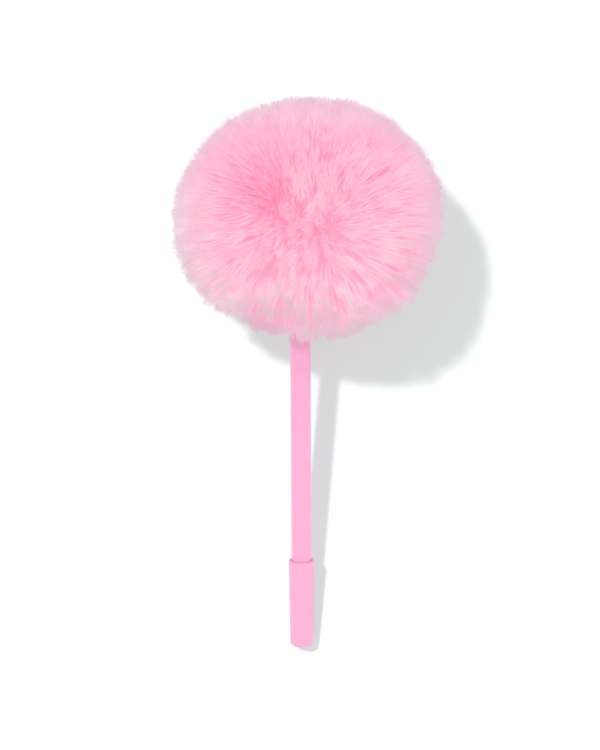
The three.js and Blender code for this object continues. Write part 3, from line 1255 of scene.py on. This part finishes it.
def leaning(pile):
    """How each strand leans: at random, and away from the whorl and the parting."""
    ways = pile.ways
    ruffled, parting = pile.ruffled[:, None], pile.parting[:, None]
    in_whorl = closeness(ways, *WHORL)[:, None]
    combed = 1 - closeness(ways, *UNCOMBED)[:, None]
    lean = smooth_waves(ways, 4) * REGION_LEAN
    lean += smooth_waves(pile.locks, 16)[pile.lock] * LOCK_LEAN * (1 - parting)
    lean += rng.normal(0, TUFT_LEAN, (TUFTS, 3))[pile.tuft] * ruffled
    lean += rng.normal(0, WHORL_LEAN, (LOCKS, 3))[pile.lock] * in_whorl
    lean += np.array([0, REARWARD_LEAN, 0]) * closeness(ways, *TOP)[:, None]
    lean += tangent(-WHORL_WAY, ways) * COMBED * combed
    lean += tangent(ways - PARTING_WAY, ways) * PARTED * parting
    return tangent(lean, ways)


def strand_lengths(pile):
    """Each strand's length as a share of the pile's there."""
    count = len(pile.ways)
    cut = (rng.random(count) < CUT_SHARE) * rng.uniform(0, MOST_CUT, count)
    length = 1 + rng.normal(0, LOCK_UNEVEN, LOCKS)[pile.lock] - cut
    length -= np.abs(rng.normal(0, STRAND_UNEVEN, count))
    length += rng.normal(0, TUFT_UNEVEN, TUFTS)[pile.tuft] * pile.ruffled
    return length - pile.parting * PARTING_DIP


def strand_tips(pile, drawn):
    ways = normalised(drawn + leaning(pile) + rng.normal(0, STRAND_LEAN, drawn.shape))
    along = ways[:, 1]
    reach = 1 / np.sqrt((along / PILE_HALF_LENGTH) ** 2 + (1 - along**2) / PILE_RADIUS**2)
    return ways * (reach * strand_lengths(pile) * swell(ways))[:, None] + [OFFSET, 0, RISE]


def root_ways(ways):
    """The ways to the strands' roots. The bag's mouth is gathered round the barrel, so the
    roots near it keep further from the axis."""
    polar = np.arccos(np.clip(-ways[:, 1], -1, 1))
    polar += GATHERED_BY * smooth_step((GATHERED_TO - polar) / (GATHERED_TO - BARE_ANGLE))
    roots = normalised(ways * [1, 0, 1]) * np.sin(polar)[:, None]
    roots[:, 1] = -np.cos(polar)
    return roots


def points_on_bag(ways):
    """Where lines from the middle of the ball of fur meet the bag, which is OFFSET to its left."""
    towards_side = ways[:, 0] * OFFSET
    reach = np.sqrt(towards_side**2 + BACKING_RADIUS**2 - OFFSET**2) - towards_side
    return ways * reach[:, None] + [OFFSET, 0, 0]


def strand_middles(pile, rooted, drawn, roots, tips):
    span = np.linalg.norm(tips - roots, axis=1)[:, None]
    ways = normalised(rooted * ROOT_STIFFNESS + drawn * (1 - ROOT_STIFFNESS))
    middles = roots + ways * span * BEND_PLACE
    middles += rng.normal(0, LOCK_BEND, (LOCKS, 3))[pile.lock]
    return middles + rng.normal(0, STRAND_BEND, middles.shape)


def strand_paleness(pile):
    """Each strand's paleness at its root and at its tip."""
    ways, unparted = pile.ways, 1 - pile.parting
    tips = PALENESS + rng.uniform(-0.5, 0.5, LOCKS)[pile.lock] * LOCK_SHADES * unparted
    tips += smooth_waves(pile.locks, 8)[pile.lock, 0] * REGION_SHADES
    tips += rng.normal(0, TUFT_SHADES, TUFTS)[pile.tuft] * unparted
    # painted light: the first term paints the tips paler towards one side
    tips += ways @ PAINTED_LIGHT_WAY * PAINTED_LIGHT_PALENESS + closeness(ways, *PALER_PATCH) * PALER_PATCH_AMOUNT
    # painted shade: the tips in the parting and in the patch beside it are painted deeper pink
    tips -= pile.parting * PARTING_PAINTED_SHADE + closeness(ways, *PAINTED_SHADE_PATCH) * PAINTED_SHADE_PATCH_DEPTH
    # painted shade: the tips beside the barrel are painted deeper pink
    tips -= closeness(ways, *SHADE_BESIDE_BARREL) * SHADE_BESIDE_BARREL_DEPTH
    roots = tips + ROOTS_PALER * (1 - closeness(ways, *DEEP_ROOTED))
    return np.clip(np.stack([roots, tips], 1), 0, 1)


def make_strand_paths():
    """Root, middle and tip of each strand, in the pen's axes, and its paleness at both ends."""
    pile = make_pile()
    drawn = drawn_together(pile)
    tips = strand_tips(pile, drawn)
    rooted = root_ways(pile.ways)
    roots = points_on_bag(rooted)
    middles = strand_middles(pile, rooted, drawn, roots, tips)
    return roots, middles, tips, strand_paleness(pile)


def at_least(floor, amount, softness):
    """The amount, but bent smoothly so that it never comes below the floor."""
    return floor + softness * np.log1p(np.exp((amount - floor) / softness))


def above_floor(points):
    """Presses points that would be below or near the floor up to it, and spreads them outwards."""
    softness = 3
    spreading = 0.5  # for each millimetre that a point is pressed up
    height = points[..., 2]
    pressed = at_least(FLOOR_CLEARANCE, height, softness)
    away = points[..., :2] - POMPOM_CENTRE[:2]
    away = away / np.maximum(np.linalg.norm(away, axis=-1, keepdims=True), 1)
    moved = points.copy()
    moved[..., :2] += away * (pressed - height)[..., None] * spreading
    moved[..., 2] = pressed
    return moved


def clear_of_barrel(path):
    """Moves strands that would run into the barrel out to the side that they are rooted on."""
    outward = normalised(path[:, :1] * [1, 0, 1])
    height = np.sum(path * outward, -1, keepdims=True)
    cleared = at_least(BARREL_RADIUS + FACE_GAP, height, 0.5)
    in_front = path[:, :1, 1:2] < POMPOM_STATION
    return np.where(in_front, path + outward * (cleared - height), path)


def strand_vertices(roots, middles, tips):
    """Three rings of three points and a tip for each strand, in the row's axes, in mm."""
    count = len(roots)
    t = np.append(RING_PLACES, 1.0)[None, :, None]
    path = (1 - t) ** 2 * roots[:, None] + 2 * t * (1 - t) * middles[:, None] + t**2 * tips[:, None]
    path = clear_of_barrel(path + [0, POMPOM_STATION, 0])
    path = above_floor(to_row(path.reshape(-1, 3)).reshape(path.shape))

    along = normalised(np.gradient(path, axis=1))
    across = normalised(np.cross(along, normalised(rng.normal(0, 1, (count, 1, 3)))))
    other = np.cross(along, across)
    turn = np.arange(3) * 2 * np.pi / 3
    rings = len(RING_PLACES)
    sides = (
        across[:, :rings, None] * np.cos(turn)[None, None, :, None]
        + other[:, :rings, None] * np.sin(turn)[None, None, :, None]
    )
    size = RING_RADII[None, :, None, None] * rng.uniform(0.8, 1.25, (count, 1, 1, 1))
    points = path[:, :rings, None] + sides * size
    points[..., 2] = np.maximum(points[..., 2], LOWEST)
    return np.concatenate([points.reshape(count, rings * 3, 3), path[:, -1:]], 1)


def strand_faces():
    """The triangles of one strand: its sides, its point and its root end."""
    rings = len(RING_PLACES)
    faces = []
    for ring in range(rings - 1):
        for side in range(3):
            a = ring * 3 + side
            b = ring * 3 + (side + 1) % 3
            faces += [(a, b, b + 3), (a, b + 3, a + 3)]
    last = (rings - 1) * 3
    for side in range(3):
        faces.append((last + side, last + (side + 1) % 3, rings * 3))
    faces.append((2, 1, 0))
    return np.array(faces)


def fur_mesh(name, vertices, paleness):
    """One mesh of many strands. Their chart's x is the paleness, which goes from the first
    value at the root to the second at the tip, and its y is the place along the strand."""
    count, each = vertices.shape[:2]
    faces = strand_faces()
    corners = (faces[None] + (np.arange(count) * each)[:, None, None]).reshape(-1)
    mesh = bpy.data.meshes.new(name)
    mesh.vertices.add(count * each)
    mesh.vertices.foreach_set("co", (vertices.reshape(-1) * MM).astype(np.float32))
    mesh.loops.add(len(corners))
    mesh.loops.foreach_set("vertex_index", corners.astype(np.int32))
    mesh.polygons.add(len(corners) // 3)
    mesh.polygons.foreach_set("loop_start", np.arange(0, len(corners), 3, dtype=np.int32))
    mesh.polygons.foreach_set("use_smooth", np.ones(len(corners) // 3, bool))
    place_of = np.append(np.repeat(RING_PLACES, 3), 1.0)
    v = np.tile(place_of[faces.reshape(-1)], count)
    at_root, at_tip = np.repeat(paleness, faces.size, axis=0).T
    places = np.stack([at_root * (1 - v) + at_tip * v, v], 1) * (1 - 2 * CHART_MARGIN) + CHART_MARGIN
    chart = mesh.uv_layers.new(name=CHART)
    chart.data.foreach_set("uv", places.reshape(-1).astype(np.float32))
    mesh.update()
    mesh.validate()
    return mesh


def make_fur():
    roots, middles, tips, paleness = make_strand_paths()
    vertices = strand_vertices(roots, middles, tips)
    order = rng.permutation(len(vertices))
    for piece in range(STRAND_PIECES):
        chosen = order[piece::STRAND_PIECES]
        mesh = fur_mesh(f"pompom_fur_{piece + 1}", vertices[chosen], paleness[chosen])
        nodes = ["pompom_pile"] if piece == 0 else []
        place_piece(mesh, "barrel", "faux_fur", *nodes)


# ----------------------------------------------------------
# The pen

set_up_view()
MATERIALS = make_materials()
make_cap()
make_tip_stopper()
make_grip()
make_point_holder()
make_writing_point()
make_ball()
make_refill()
make_ink()
make_follower()
make_barrel()
make_rear_plug()
make_glue()
make_thread()
make_backing()
make_stuffing()
make_fur()
